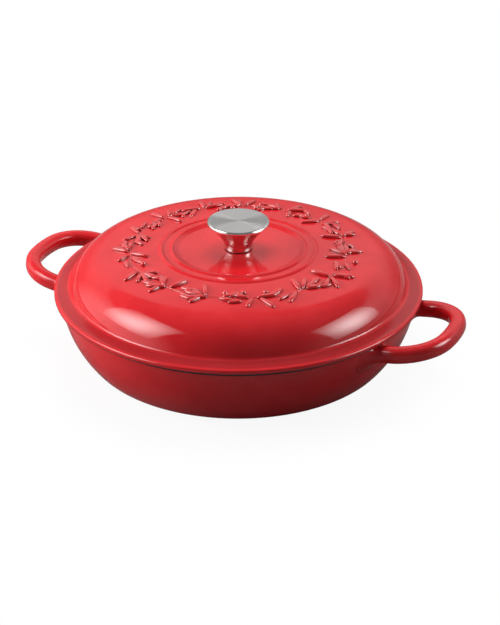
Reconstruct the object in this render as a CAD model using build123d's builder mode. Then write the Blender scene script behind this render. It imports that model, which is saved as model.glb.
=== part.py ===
from build123d import *
from math import atan2, cos, hypot, radians, sin, sqrt
import os

os.makedirs("parts", exist_ok=True)

# Shared sizes in millimetres, +Z up, X along the handles, origin in the middle of the pan's base
overrun = 4.0
seat_gap = 0.05
axis_gap = 0.4

# Pan: a shallow bowl with a bulging wall, cast iron under enamel
pan_radius = 150.0
pan_height = 57.8
pan_base_radius = 124.5
pan_bulge = 5.6
pan_corner = 14.0
pan_wall = 4.2
pan_floor = 5.4
pan_inner_corner = 16.0
pan_rim_round = 0.9
foot_inner_radius = 107.0
foot_recess = 0.7

# Loop handles, cast with the pan: an arch in plan that rises outward
handle_length = 47.9
handle_span = 102.0
handle_bow = 13.0
handle_corner = 42.0
handle_bar = 13.2
handle_thickness = 13.4
handle_drop = 9.2
handle_tilt = 8.5
handle_edge_round = 5.4
handle_root_flare = 13.0
handle_opening_flare = 6.0
handle_root_depth = 3.2
handle_root_length = 32.0

# Lid: flange, steep shoulder and nearly flat crown
lid_overhang = 5.0
lid_rise = 37.4
crown_radius = 1100.0
shoulder_radius = 33.0
flange_width = 12.4
lid_wall = 4.2
flange_edge = 3.8
flange_rise = 3.2
cove_radius = 3.0
flange_round = 1.7
flange_under_round = 0.8
lip_depth = 4.6
lip_gap = 1.1
lip_round = 1.4

# Sunk floor round the knob, with two raised rings outside it
floor_radius = 49.5
floor_depth = 2.0
floor_wall = 4.6
boss_slope = 4.0
inner_ring_radius = 55.5
outer_ring_radius = 64.6
ring_width = 5.0
ring_rise = 0.9

# Embossed wreath of leafy sprigs round the crown
wreath_inset = 18.6
sprig_start = 16.2
long_leaf = 17.0
long_leaf_width = 5.0
short_leaf = 12.5
short_leaf_width = 4.4
leaf_rise = 1.5
leaf_start = 0.8
stem_width = 1.7
stem_rise = 0.8
berry_radius = 1.9
berry_rise = 1.9
berry_reach = 8.0

# Turns of each sprig's long leaves, short leaves and berries, anticlockwise from the wreath's own way
sprig_turns = (
    ((106, 61, 33, 11), (-24, -60), (-95,)),
    ((73, 150, -57), (-90, 20), (105, 175)),
    ((65, 162, -70), (-110, -145), (15,)),
    ((-153, -103, -13, 17), (100, -60), ()),
    ((-120, -60, 20, 160), (-90,), (75, 110)),
    ((-5, -95, -175, 55), (-125,), ()),
    ((-91, 9, 94), (-131, 144, 54), ()),
    ((-132, 53, 28), (-32, 83, -100), (150,)),
    ((-127, 61, -157), (-44, 175, -95), ()),
    ((-65, -4, 24), (-40, 64), (100,)),
    ((-156, 140, 77), (-100, 115), ()),
    ((-164, 169, 106), (-124, 141, -6), (60,)),
    ((10, -58), (-119, 149), (62, 95, 122)),
    ((77, 50, -144), (24, -10), ()),
    ((-57, -129, 95), (-90, -160), (20,)),
)

# Knob: spun cap, flared stem, insert, gasket, washer and screw
knob_radius = 25.9
knob_cap_thickness = 2.8
knob_cap_round = 1.5
knob_cap_under_round = 0.7
knob_height = 24.7
stem_foot_radius = 11.5
stem_mouth_radius = 24.3
stem_flare = 17.0
stem_flare_turn = 40.0
stem_wall = 1.3
stem_sole = 1.6
spigot_depth = 1.5
insert_flats = 12.0
insert_height = 10.0
insert_roof = 2.0
gasket_radius = 11.0
gasket_thickness = 0.8
washer_radius = 8.0
washer_thickness = 1.2
screw_radius = 3.0
screw_head_radius = 5.6
screw_head_height = 3.4
screw_tip_room = 0.8
screw_chamfer = 0.5
drive_flats = 4.0
drive_depth = 2.2


# Heights and radii that the pieces share
lid_radius = pan_radius + lid_overhang
lid_top = pan_height + lid_rise
flange_top = pan_height + flange_edge + flange_rise
crown_centre = lid_top - crown_radius
shoulder_across = lid_radius - flange_width - shoulder_radius
shoulder_height = crown_centre + sqrt((crown_radius - shoulder_radius) ** 2 - shoulder_across ** 2)
wreath_radius = shoulder_across - wreath_inset
cavity_radius = pan_radius - pan_wall
lip_radius = cavity_radius - lip_gap
lid_floor = lid_top - floor_depth
lid_underside = lid_floor - floor_wall
knob_foot = lid_floor + gasket_thickness
knob_top = knob_foot + knob_height
cap_underside = knob_top - knob_cap_thickness
hole_radius = screw_radius + axis_gap


def crown_at(radius, rise):
    return crown_centre + sqrt((crown_radius + rise) ** 2 - radius ** 2)


def crown_end(rise):
    share = (crown_radius + rise) / (crown_radius - shoulder_radius)
    return shoulder_across * share, crown_centre + (shoulder_height - crown_centre) * share


# Handle: arch on a tilted plane, its legs flared into the wall, rounded all round its section
handle_up = (-sin(radians(handle_tilt)), 0, cos(radians(handle_tilt)))
handle_along = (cos(radians(handle_tilt)), 0, sin(radians(handle_tilt)))
handle_middle = pan_height - handle_drop
handle_plane = Plane(origin=(pan_radius, 0, handle_middle), x_dir=handle_along, z_dir=handle_up)
root_radius = pan_radius - handle_root_depth
outer_half = handle_span / 2
inner_half = outer_half - handle_bar
tip_radius = (outer_half ** 2 + handle_bow ** 2) / (2 * handle_bow)
tip_centre = handle_length - tip_radius

with BuildPart() as handle:
    with BuildSketch(handle_plane) as handle_plan:
        for half, radius, corner, mode in (
            (outer_half, tip_radius, handle_corner, Mode.ADD),
            (inner_half, tip_radius - handle_bar, handle_corner - handle_bar, Mode.SUBTRACT),
        ):
            shoulder = tip_centre + sqrt(radius ** 2 - half ** 2)
            with BuildSketch(mode=Mode.PRIVATE) as arch:
                with BuildLine():
                    tip = ThreePointArc((shoulder, -half), (tip_centre + radius, 0), (shoulder, half))
                    Polyline(tip @ 1, (-handle_root_length, half), (-handle_root_length, -half), tip @ 0)
                make_face()
                fillet(arch.vertices().group_by(Axis.X)[-1], corner)
            add(arch.sketch, mode=mode)
        with Locations((-pan_radius, 0)):
            Circle(root_radius)
        with BuildLine():
            side = outer_half + handle_root_flare
            far = handle_length + overrun
            back = -handle_root_length
            Polyline((back, -side), (far, -side), (far, side), (back, side), close=True)
        make_face(mode=Mode.INTERSECT)
        for half, flare in ((inner_half, handle_opening_flare), (outer_half, handle_root_flare)):
            corners = handle_plan.vertices().filter_by_position(Axis.X, back + seat_gap, -seat_gap)
            fillet([v for v in corners if abs(abs(v.Y) - half) < seat_gap], flare)
    extrude(amount=handle_thickness / 2, both=True)
    rims = handle.faces().filter_by(handle_plane).edges()
    fillet(rims.filter_by(GeomType.CIRCLE), handle_edge_round)

# Pan: bowl, handles, cavity, foot ring
with BuildPart() as pan:
    with BuildSketch(Plane.XZ) as pan_outline:
        with BuildLine():
            base = Line((0, 0), (pan_base_radius, 0))
            wall = SagittaArc(base @ 1, (pan_radius, pan_height), -pan_bulge)
            Polyline(wall @ 1, (0, pan_height), (0, 0))
        make_face()
        corners = pan_outline.vertices()
        fillet(corners.sort_by_distance((pan_base_radius, 0))[0], pan_corner)
    revolve(axis=Axis.Z)
    with PolarLocations(0, 2):
        add(handle.part)
    with BuildSketch(Plane.XZ) as pan_cavity:
        with BuildLine():
            inner_base = Line((0, pan_floor), (pan_base_radius - pan_wall, pan_floor))
            inner_wall = SagittaArc(inner_base @ 1, (cavity_radius, pan_height), -pan_bulge)
            above = pan_height + overrun
            Polyline(inner_wall @ 1, (cavity_radius, above), (0, above), (0, pan_floor))
        make_face()
        corners = pan_cavity.vertices()
        fillet(corners.sort_by_distance((pan_base_radius - pan_wall, pan_floor))[0], pan_inner_corner)
    revolve(axis=Axis.Z, mode=Mode.SUBTRACT)
    with BuildSketch(Plane.XY):
        Circle(foot_inner_radius)
    extrude(amount=foot_recess, mode=Mode.SUBTRACT)
    on_rim = pan.edges().filter_by_position(Axis.Z, pan_height - seat_gap, pan_height + seat_gap)
    fillet(on_rim.filter_by(GeomType.CIRCLE), pan_rim_round)

pan.part.label = "pan"
export_step(pan.part, "parts/pan.step")


# Wreath: leaves, berries and stems as upright prisms, cut off parallel to the crown
long_places = []
short_places = []
berry_places = []
for number, (long_turns, short_turns, berry_turns) in enumerate(sprig_turns):
    round_wreath = Location((0, 0, 0), (0, 0, sprig_start + number * 360 / len(sprig_turns)))
    sprig = round_wreath * Location((wreath_radius, 0, 0), (0, 0, 90))
    for turns, places, reach in (
        (long_turns, long_places, leaf_start + long_leaf / 2),
        (short_turns, short_places, leaf_start + short_leaf / 2),
        (berry_turns, berry_places, berry_reach),
    ):
        for turn in turns:
            places.append(sprig * Location((0, 0, 0), (0, 0, turn)) * Location((reach, 0, 0)))


def raised_cap(rise):
    edge, height = crown_end(rise)
    middle = (edge / 2, crown_at(edge / 2, rise))
    with BuildPart() as cap:
        with BuildSketch(Plane.XZ):
            with BuildLine():
                crown = ThreePointArc((0, crown_at(0, rise)), middle, (edge, height))
                Polyline(crown @ 1, (edge, pan_height), (0, pan_height), crown @ 0)
            make_face()
        revolve(axis=Axis.Z)
    return cap.part


leaf_cap = raised_cap(leaf_rise)
berry_cap = raised_cap(berry_rise)
stem_cap = raised_cap(stem_rise)

with BuildPart() as leaves:
    with BuildSketch(Plane.XY.offset(pan_height)):
        with Locations(*long_places):
            Ellipse(long_leaf / 2, long_leaf_width / 2)
        with Locations(*short_places):
            Ellipse(short_leaf / 2, short_leaf_width / 2)
    extrude(amount=lid_top - pan_height)
    add(leaf_cap, mode=Mode.INTERSECT)

with BuildPart() as berries:
    with BuildSketch(Plane.XY.offset(pan_height)):
        with Locations(*berry_places):
            Circle(berry_radius)
    extrude(amount=lid_top - pan_height)
    add(berry_cap, mode=Mode.INTERSECT)

with BuildPart() as stems:
    with BuildSketch(Plane.XY.offset(pan_height)):
        Circle(wreath_radius + stem_width / 2)
        Circle(wreath_radius - stem_width / 2, mode=Mode.SUBTRACT)
    extrude(amount=lid_top - pan_height)
    add(stem_cap, mode=Mode.INTERSECT)

# Lid: revolved shell with its flange, rings, floor and lip, and the wreath on its crown
with BuildPart() as lid:
    with BuildSketch(Plane.XZ) as lid_outline:
        with BuildLine():
            Line((0, lid_floor), (floor_radius, lid_floor))
            rise_to = (inner_ring_radius - ring_width / 2, crown_at(inner_ring_radius - ring_width / 2, 0))
            Line((floor_radius, lid_floor), rise_to)
            at = rise_to
            for ring_radius in (inner_ring_radius, outer_ring_radius):
                start = (ring_radius - ring_width / 2, crown_at(ring_radius - ring_width / 2, 0))
                end = (ring_radius + ring_width / 2, crown_at(ring_radius + ring_width / 2, 0))
                if at != start:
                    Line(at, start)
                ThreePointArc(start, (ring_radius, crown_at(ring_radius, ring_rise)), end)
                at = end
            edge, height = crown_end(0)
            middle = (at[0] + edge) / 2
            ThreePointArc(at, (middle, crown_at(middle, 0)), (edge, height))
            foot_across = shoulder_across + sqrt(shoulder_radius ** 2 - (flange_top - shoulder_height) ** 2)
            crown_turn = atan2(height - shoulder_height, edge - shoulder_across)
            foot_turn = atan2(flange_top - shoulder_height, foot_across - shoulder_across)
            turn = (crown_turn + foot_turn) / 2
            halfway = (
                shoulder_across + shoulder_radius * cos(turn),
                shoulder_height + shoulder_radius * sin(turn),
            )
            ThreePointArc((edge, height), halfway, (foot_across, flange_top))
            Polyline(
                (foot_across, flange_top),
                (lid_radius, pan_height + flange_edge),
                (lid_radius, pan_height),
                (lip_radius, pan_height),
                (lip_radius, pan_height - lip_depth),
                (0, pan_height - lip_depth),
                (0, lid_floor),
            )
        make_face()
        corners = lid_outline.vertices()
        fillet(corners.sort_by_distance((foot_across, flange_top))[0], cove_radius)
        corners = lid_outline.vertices()
        fillet(corners.sort_by_distance((lid_radius, pan_height + flange_edge))[0], flange_round)
        corners = lid_outline.vertices()
        fillet(corners.sort_by_distance((lid_radius, pan_height))[0], flange_under_round)
        corners = lid_outline.vertices()
        fillet(corners.sort_by_distance((lip_radius, pan_height - lip_depth))[0], lip_round)
    revolve(axis=Axis.Z)
    add(stems.part)
    add(leaves.part)
    add(berries.part)
    with BuildSketch(Plane.XZ):
        with BuildLine():
            boss_radius = floor_radius + boss_slope
            boss_end = (boss_radius, crown_at(boss_radius, -lid_wall))
            Polyline((0, lid_underside), (floor_radius, lid_underside), boss_end)
            edge, height = crown_end(-lid_wall)
            middle = (boss_radius + edge) / 2
            ThreePointArc(boss_end, (middle, crown_at(middle, -lid_wall)), (edge, height))
            inner_round = shoulder_radius - lid_wall
            turn = atan2(height - shoulder_height, edge - shoulder_across) / 2
            halfway = (
                shoulder_across + inner_round * cos(turn),
                shoulder_height + inner_round * sin(turn),
            )
            inner_side = shoulder_across + inner_round
            ThreePointArc((edge, height), halfway, (inner_side, shoulder_height))
            below = pan_height - lip_depth - overrun
            Polyline((inner_side, shoulder_height), (inner_side, below), (0, below), (0, lid_underside))
        make_face()
    revolve(axis=Axis.Z, mode=Mode.SUBTRACT)
    with Locations((0, 0, lid_floor)):
        Hole(hole_radius)

lid.part.label = "lid"
export_step(lid.part, "parts/lid.step")

# Knob stem: flared shell on a sole with a hole for the screw
flare_turn = radians(stem_flare_turn)
cone_foot = (
    stem_foot_radius + stem_flare * (1 - cos(flare_turn)),
    knob_foot + stem_flare * sin(flare_turn),
)
flare_middle = (
    stem_foot_radius + stem_flare * (1 - cos(flare_turn / 2)),
    knob_foot + stem_flare * sin(flare_turn / 2),
)
with BuildPart() as knob_stem:
    with BuildSketch(Plane.XZ) as stem_outline:
        with BuildLine():
            Line((0, knob_foot), (stem_foot_radius, knob_foot))
            ThreePointArc((stem_foot_radius, knob_foot), flare_middle, cone_foot)
            Polyline(cone_foot, (stem_mouth_radius, cap_underside), (0, cap_underside), (0, knob_foot))
        make_face()
        with BuildLine():
            lean = stem_wall / cos(flare_turn)
            inside_foot = (
                cone_foot[0] - stem_wall * cos(flare_turn),
                cone_foot[1] + stem_wall * sin(flare_turn),
            )
            inside_middle = (
                flare_middle[0] - stem_wall * cos(flare_turn / 2),
                flare_middle[1] + stem_wall * sin(flare_turn / 2),
            )
            sole_top = knob_foot + stem_sole
            ThreePointArc((stem_foot_radius - stem_wall, sole_top), inside_middle, inside_foot)
            Polyline(
                inside_foot,
                (stem_mouth_radius - lean, cap_underside),
                (0, cap_underside),
                (0, sole_top),
                (stem_foot_radius - stem_wall, sole_top),
            )
        make_face(mode=Mode.SUBTRACT)
    revolve(axis=Axis.Z)
    with Locations((0, 0, sole_top)):
        Hole(hole_radius)

knob_stem.part.label = "knob_stem"
export_step(knob_stem.part, "parts/knob_stem.step")

# Knob cap: thick disc with a rounded edge and a spigot in the stem's mouth
with BuildPart() as knob_cap:
    with BuildSketch(Plane.XY.offset(cap_underside)):
        Circle(knob_radius)
    extrude(amount=knob_cap_thickness)
    fillet(knob_cap.edges().group_by(Axis.Z)[-1], knob_cap_round)
    fillet(knob_cap.edges().group_by(Axis.Z)[0], knob_cap_under_round)
    spigot_radius = stem_mouth_radius - lean - spigot_depth * sin(flare_turn) / cos(flare_turn) - seat_gap
    with BuildSketch(Plane.XY.offset(cap_underside)):
        Circle(spigot_radius)
    extrude(amount=-spigot_depth)

knob_cap.part.label = "knob_cap"
export_step(knob_cap.part, "parts/knob_cap.step")

# Knob insert: hexagon with a blind bore, on the stem's sole
with BuildPart() as knob_insert:
    with BuildSketch(Plane.XY.offset(sole_top)):
        RegularPolygon(insert_flats / 2, 6, major_radius=False)
    extrude(amount=insert_height)
    with BuildSketch(Plane.XY.offset(sole_top)):
        Circle(screw_radius + seat_gap)
    extrude(amount=insert_height - insert_roof, mode=Mode.SUBTRACT)

knob_insert.part.label = "knob_insert"
export_step(knob_insert.part, "parts/knob_insert.step")

# Gasket under the stem
with BuildPart() as knob_gasket:
    with BuildSketch(Plane.XY.offset(lid_floor)):
        Circle(gasket_radius)
        Circle(hole_radius, mode=Mode.SUBTRACT)
    extrude(amount=gasket_thickness)

knob_gasket.part.label = "knob_gasket"
export_step(knob_gasket.part, "parts/knob_gasket.step")

# Washer under the lid
with BuildPart() as lid_washer:
    with BuildSketch(Plane.XY.offset(lid_underside - washer_thickness)):
        Circle(washer_radius)
        Circle(hole_radius, mode=Mode.SUBTRACT)
    extrude(amount=washer_thickness)

lid_washer.part.label = "lid_washer"
export_step(lid_washer.part, "parts/lid_washer.step")

# Screw from below: rounded head with a hexagon socket, shank up into the insert
screw_seat = lid_underside - washer_thickness
screw_tip = sole_top + insert_height - insert_roof - screw_tip_room
with BuildPart() as knob_screw:
    with BuildSketch(Plane.XY.offset(screw_seat - screw_head_height)):
        Circle(screw_head_radius)
    extrude(amount=screw_head_height)
    fillet(knob_screw.edges().group_by(Axis.Z)[0], screw_head_height / 2)
    with BuildSketch(Plane.XY.offset(screw_seat)):
        Circle(screw_radius)
    extrude(amount=screw_tip - screw_seat)
    chamfer(knob_screw.edges().group_by(Axis.Z)[-1], screw_chamfer)
    with BuildSketch(Plane.XY.offset(screw_seat - screw_head_height)):
        RegularPolygon(drive_flats / 2, 6, major_radius=False)
    extrude(amount=drive_depth, mode=Mode.SUBTRACT)

knob_screw.part.label = "knob_screw"
export_step(knob_screw.part, "parts/knob_screw.step")
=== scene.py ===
import math

import bpy
import numpy as np
from mathutils import Euler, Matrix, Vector

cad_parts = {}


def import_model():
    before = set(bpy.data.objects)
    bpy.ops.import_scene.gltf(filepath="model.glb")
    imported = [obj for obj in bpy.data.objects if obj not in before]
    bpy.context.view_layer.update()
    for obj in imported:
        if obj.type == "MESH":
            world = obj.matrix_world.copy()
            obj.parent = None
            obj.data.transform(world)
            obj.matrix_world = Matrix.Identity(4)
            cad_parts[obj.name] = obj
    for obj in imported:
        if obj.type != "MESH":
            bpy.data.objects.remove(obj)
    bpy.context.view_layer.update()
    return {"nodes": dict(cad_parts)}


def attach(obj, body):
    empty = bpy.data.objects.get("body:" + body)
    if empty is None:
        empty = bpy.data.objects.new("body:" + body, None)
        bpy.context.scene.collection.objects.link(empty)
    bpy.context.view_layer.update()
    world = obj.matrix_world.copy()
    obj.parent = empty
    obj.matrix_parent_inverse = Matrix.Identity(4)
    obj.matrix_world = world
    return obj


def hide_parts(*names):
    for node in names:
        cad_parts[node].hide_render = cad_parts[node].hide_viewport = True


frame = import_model()
mm = 0.001


# Node graphs: a socket that does sums, and a graph that makes nodes

class Wire:
    def __init__(self, graph, socket):
        self.graph = graph
        self.socket = socket

    def out(self, name):
        return Wire(self.graph, self.socket.node.outputs[name])

    def sum(self, operation, *others):
        return self.graph.maths(operation, self, *others)

    def __add__(self, other):
        return self.sum("ADD", other)

    def __radd__(self, other):
        return self.graph.maths("ADD", other, self)

    def __sub__(self, other):
        return self.sum("SUBTRACT", other)

    def __rsub__(self, other):
        return self.graph.maths("SUBTRACT", other, self)

    def __mul__(self, other):
        return self.sum("MULTIPLY", other)

    def __truediv__(self, other):
        return self.sum("DIVIDE", other)

    def __pow__(self, other):
        return self.sum("POWER", other)

    def __neg__(self):
        return self.graph.maths("MULTIPLY", self, -1.0)


class Graph:
    def __init__(self, tree):
        self.tree = tree

    def node(self, kind, settings=None, inputs=None, output=0):
        made = self.tree.nodes.new(kind)
        for name, value in (settings or {}).items():
            setattr(made, name, value)
        for name, value in (inputs or {}).items():
            self.feed(made.inputs[name], value)
        return Wire(self, made.outputs[output])

    def feed(self, socket, value):
        if isinstance(value, Wire):
            self.tree.links.new(value.socket, socket)
        else:
            socket.default_value = value

    def maths(self, operation, *values):
        return self.node("ShaderNodeMath", {"operation": operation}, dict(enumerate(values)))

    def vector(self, operation, *values, output=0):
        return self.node("ShaderNodeVectorMath", {"operation": operation}, dict(enumerate(values)), output)

    def blend(self, share, first, second):  # colours
        settings = {"data_type": "RGBA", "blend_type": "MIX"}
        return self.node("ShaderNodeMix", settings, {0: share, 6: first, 7: second}, 2)

    def ramp(self, value, low, high, start=0.0, end=1.0):  # smooth step from low to high
        inputs = {"Value": value, "From Min": low, "From Max": high, "To Min": start, "To Max": end}
        return self.node("ShaderNodeMapRange", {"interpolation_type": "SMOOTHSTEP"}, inputs)

    def noise(self, place, size):
        scale, detail, roughness = size
        inputs = {"Vector": place, "Scale": scale, "Detail": detail, "Roughness": roughness}
        return self.node("ShaderNodeTexNoise", {}, inputs)

    def bump(self, height, size, under=None):
        strength, distance = size
        inputs = {"Height": height, "Strength": strength, "Distance": distance * mm}
        if under is not None:
            inputs["Normal"] = under
        return self.node("ShaderNodeBump", {}, inputs)

    def place(self):
        return self.node("ShaderNodeTexCoord", {}, {}, "Object")

    def split(self, vector):
        return self.node("ShaderNodeSeparateXYZ", {}, {0: vector})

    def across(self, place, unit=1.0):  # distance from the axis
        return self.vector("LENGTH", self.vector("MULTIPLY", place, (unit, unit, 0.0)), output="Value")

    def principled(self, colour, roughness, normal, more=None):
        inputs = {"Base Color": colour, "Roughness": roughness, "Normal": normal}
        return self.node("ShaderNodeBsdfPrincipled", {}, {**inputs, **(more or {})})

    def mixShader(self, share, first, second):
        return self.node("ShaderNodeMixShader", {}, {0: share, 1: first, 2: second})

    def finish(self, kind, shader):
        self.feed(self.tree.nodes.new(kind).inputs["Surface"], shader)


def freshGraph(owner):
    owner.use_nodes = True
    owner.node_tree.nodes.clear()
    return Graph(owner.node_tree)


def newMaterial(name):
    made = bpy.data.materials.new(name)
    return made, freshGraph(made)


# Meshes: lathed profiles and plain vertex lists

samePoint = 0.002  # neighbours in a profile that are nearer than this are one point


def arc(centre, radius, start, end, steps):
    turns = np.radians(np.linspace(start, end, steps + 1))
    return [(centre[0] + radius * math.cos(t), centre[1] + radius * math.sin(t)) for t in turns]


def along(first, last, steps):
    shares = np.linspace(0.0, 1.0, steps + 1)
    return [(first[0] + (last[0] - first[0]) * s, first[1] + (last[1] - first[1]) * s) for s in shares]


def tidyProfile(points):
    kept = [points[0]]
    for point in points[1:]:
        if math.dist(point, kept[-1]) > samePoint:
            kept.append(point)
    if math.dist(kept[0], kept[-1]) < samePoint:
        kept.pop()
    return kept


def lathe(profile, segments):  # a profile of (radius, height) that runs round the section anticlockwise
    profile = tidyProfile(profile)
    turns = np.linspace(0.0, 2 * math.pi, segments, endpoint=False)
    points = []
    rows = []
    for radius, height in profile:
        first = len(points)
        if radius < samePoint:  # on the axis
            points.append((0.0, 0.0, height))
            rows.append([first] * segments)
        else:
            points += [(radius * math.cos(t), radius * math.sin(t), height) for t in turns]
            rows.append(list(range(first, first + segments)))
    faces = []
    for index, row in enumerate(rows):
        after = rows[(index + 1) % len(rows)]
        if row[0] == row[1] and after[0] == after[1]:
            continue
        for k in range(segments):
            n = (k + 1) % segments
            corners = [row[k], row[n], after[n], after[k]]
            faces.append(tuple(dict.fromkeys(corners)))
    return points, faces


def joinMeshes(*meshes):
    points = []
    faces = []
    for somePoints, someFaces in meshes:
        first = len(points)
        points += list(somePoints)
        faces += [tuple(first + index for index in face) for face in someFaces]
    return points, faces


def addObject(name, data):
    made = bpy.data.objects.new(name, data)
    bpy.context.scene.collection.objects.link(made)
    return made


def makeObject(name, mesh, material, body, replaced):
    points, faces = mesh
    data = bpy.data.meshes.new(name)
    data.from_pydata([tuple(c * mm for c in point) for point in points], [], faces)
    data.polygons.foreach_set("use_smooth", [True] * len(data.polygons))
    data.materials.append(material)
    data.validate()
    placePiece(addObject(name, data), body, replaced)


def placePiece(made, body, replaced=None):
    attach(made, body)
    if replaced:
        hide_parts(replaced)


print("stage: materials")

# In the materials a noise is its scale, detail and roughness, a bump is its strength and height,
# and a reach is where a smooth step starts and ends

# Enamel: glassy red coat over iron, matte black rims, sand-coloured inside, with painted shade in creases and
# on the lid's flange, and painted shadow under the lid's edge
enamelSizes = {
    "red": (0.64, 0.0125, 0.018, 1.0),
    "shadeRed": (0.38, 0.006, 0.01, 1.0),
    "paleRed": (0.7, 0.018, 0.024, 1.0),
    "crestRed": (0.72, 0.022, 0.024, 1.0),
    "gapShadeRed": (0.13, 0.003, 0.005, 1.0),
    "rimAndShadowBlack": (0.012, 0.011, 0.011, 1.0),
    "rimAndShadowGrey": (0.03, 0.028, 0.027, 1.0),
    "sand": (0.62, 0.53, 0.40, 1.0),
    "sandSpeck": (0.42, 0.33, 0.22, 1.0),
    "glassIndex": 1.5,
    "wreathIndex": 1.6,
    # the band's low edge lies below the pan's rim: painted shadow of the gap under the lid
    "rimShadowLow": 54.4,
    "rimHigh": 58.75,
    "rimSoft": 0.22,
    "rimInside": (136.0, 137.0),
    "rimOutSoft": 0.2,
    "rimWander": 0.5,
    "flangeShadeShare": 0.85,
    "flangeShadeSoft": 1.2,
    "flangeShadeFade": 1.6,
    "flangeShadeRise": 1.0,
    "creaseDistance": 3.2,
    "openReach": (0.25, 0.9),
    "wreathOpenReach": (0.42, 0.9),
    "mottleNoise": (34.0, 4.0, 0.55),
    "peelNoise": (210.0, 2.0, 0.45),
    "waveNoise": (26.0, 2.0, 0.4),
    "speckNoise": (1400.0, 1.0, 0.5),
    "grainNoise": (900.0, 3.0, 0.6),
    "wreathMottleNoise": (60.0, 3.0, 0.55),
    "wreathPeelNoise": (420.0, 2.0, 0.5),
    "peelBump": (1.0, 0.006),
    "waveBump": (1.0, 0.05),
    "grainBump": (0.6, 0.05),
    "wreathPeelBump": (1.0, 0.02),
    "toneReach": (0.35, 0.7),
    "mottleReach": (0.3, 0.75),
    "speckReach": (0.6, 0.68),
    "grainReach": (0.3, 0.7),
    "roughness": (0.06, 0.095),
    "sandRoughness": (0.14, 0.22),
    "rimRoughness": (0.5, 0.68),
    "wreathRoughness": (0.06, 0.1),
    "wreathCoat": (0.6, 1.0),
    "coatRoughness": 0.04,
}


def openness(graph, reach):  # 0 in creases, 1 on open faces; the mask for painted shade in creases
    distance = {"Distance": enamelSizes["creaseDistance"] * mm}
    return graph.ramp(graph.node("ShaderNodeAmbientOcclusion", {"samples": 8}, distance, "AO"), *reach)


def flangeShadeShare(graph, across, height, flangeShadeSpan):  # painted shade between two radii on the flange, above the rim
    s = enamelSizes
    near = graph.ramp(across, flangeShadeSpan[0] - s["flangeShadeSoft"], flangeShadeSpan[0] + s["flangeShadeSoft"])
    far = graph.ramp(across, flangeShadeSpan[1] - s["flangeShadeFade"], flangeShadeSpan[1] + s["flangeShadeSoft"], 1.0, 0.0)
    return near * far * graph.ramp(height, s["rimHigh"], s["rimHigh"] + s["flangeShadeRise"]) * s["flangeShadeShare"]


def rimAndShadowShare(graph, across, height, wave, rimOut):  # a band of height with a slightly wandering edge: the matte black rim, and below it on the pan's wall painted shadow of the gap under the lid
    s = enamelSizes
    wander = height + (wave - 0.5) * s["rimWander"]
    low = graph.ramp(wander, s["rimShadowLow"] - s["rimSoft"], s["rimShadowLow"] + s["rimSoft"])
    high = graph.ramp(wander, s["rimHigh"] - s["rimSoft"], s["rimHigh"] + s["rimSoft"])
    far = graph.ramp(across, rimOut - s["rimOutSoft"], rimOut + s["rimOutSoft"], 1.0, 0.0)
    return graph.ramp(across, *s["rimInside"]) * far * low * (1.0 - high)


def enamelMaterial(name, insideOf, rimOut, flangeShadeSpan=None):
    s = enamelSizes
    material, graph = newMaterial(name)
    place = graph.place()
    height = graph.split(place).out("Z") * (1.0 / mm)
    across = graph.across(place, 1.0 / mm)
    mottle = graph.noise(place, s["mottleNoise"])
    peel = graph.noise(place, s["peelNoise"])
    wave = graph.noise(place, s["waveNoise"])
    speck = graph.noise(place, s["speckNoise"])
    grain = graph.noise(place, s["grainNoise"])
    fine = graph.bump(peel, s["peelBump"], graph.bump(wave, s["waveBump"]))
    glass = {"IOR": s["glassIndex"]}

    # outside: painted shade, a deeper red in creases and on the lid's flange
    red = graph.blend(graph.ramp(mottle, *s["toneReach"]), s["red"], s["paleRed"])
    # painted shade: deeper red where the occlusion mask finds creases
    red = graph.blend(openness(graph, s["openReach"]), s["shadeRed"], red)
    if flangeShadeSpan:
        # painted shade: the lid's flange is darkened between two radii
        red = graph.blend(flangeShadeShare(graph, across, height, flangeShadeSpan), red, s["shadeRed"])
    rough = graph.ramp(mottle, *s["mottleReach"], *s["roughness"])
    outside = graph.principled(red, rough, fine, glass)

    # inside: sand enamel with small specks
    sand = graph.blend(graph.ramp(speck, *s["speckReach"]), s["sand"], s["sandSpeck"])
    rough = graph.ramp(mottle, *s["mottleReach"], *s["sandRoughness"])
    inside = graph.principled(sand, rough, fine, glass)

    # rims: matte black, ground flat; on the pan's wall below the rim the same black is painted shadow of the
    # gap under the lid
    black = graph.blend(grain, s["rimAndShadowBlack"], s["rimAndShadowGrey"])
    rough = graph.ramp(grain, *s["grainReach"], *s["rimRoughness"])
    rim = graph.principled(black, rough, graph.bump(grain, s["grainBump"]))

    body = graph.mixShader(insideOf(graph, across, height), outside, inside)
    body = graph.mixShader(rimAndShadowShare(graph, across, height, wave, rimOut), body, rim)
    graph.finish("ShaderNodeOutputMaterial", body)
    return material


def wreathEnamelMaterial(name):  # glassy over the crests, with painted shade of dark red in the gaps
    s = enamelSizes
    material, graph = newMaterial(name)
    place = graph.place()
    mottle = graph.noise(place, s["wreathMottleNoise"])
    peel = graph.noise(place, s["wreathPeelNoise"])
    openFace = openness(graph, s["wreathOpenReach"])
    # painted shade: dark red where the occlusion mask finds gaps between the leaves
    red = graph.blend(openFace, s["gapShadeRed"], graph.blend(mottle, s["red"], s["crestRed"]))
    rough = graph.ramp(mottle, *s["mottleReach"], *s["wreathRoughness"])
    coat = graph.ramp(openFace, 0.0, 1.0, *s["wreathCoat"])
    graph.finish("ShaderNodeOutputMaterial", graph.principled(
        red, rough, graph.bump(peel, s["wreathPeelBump"]),
        {"IOR": s["wreathIndex"], "Coat Weight": coat, "Coat Roughness": s["coatRoughness"]}))
    return material


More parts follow.
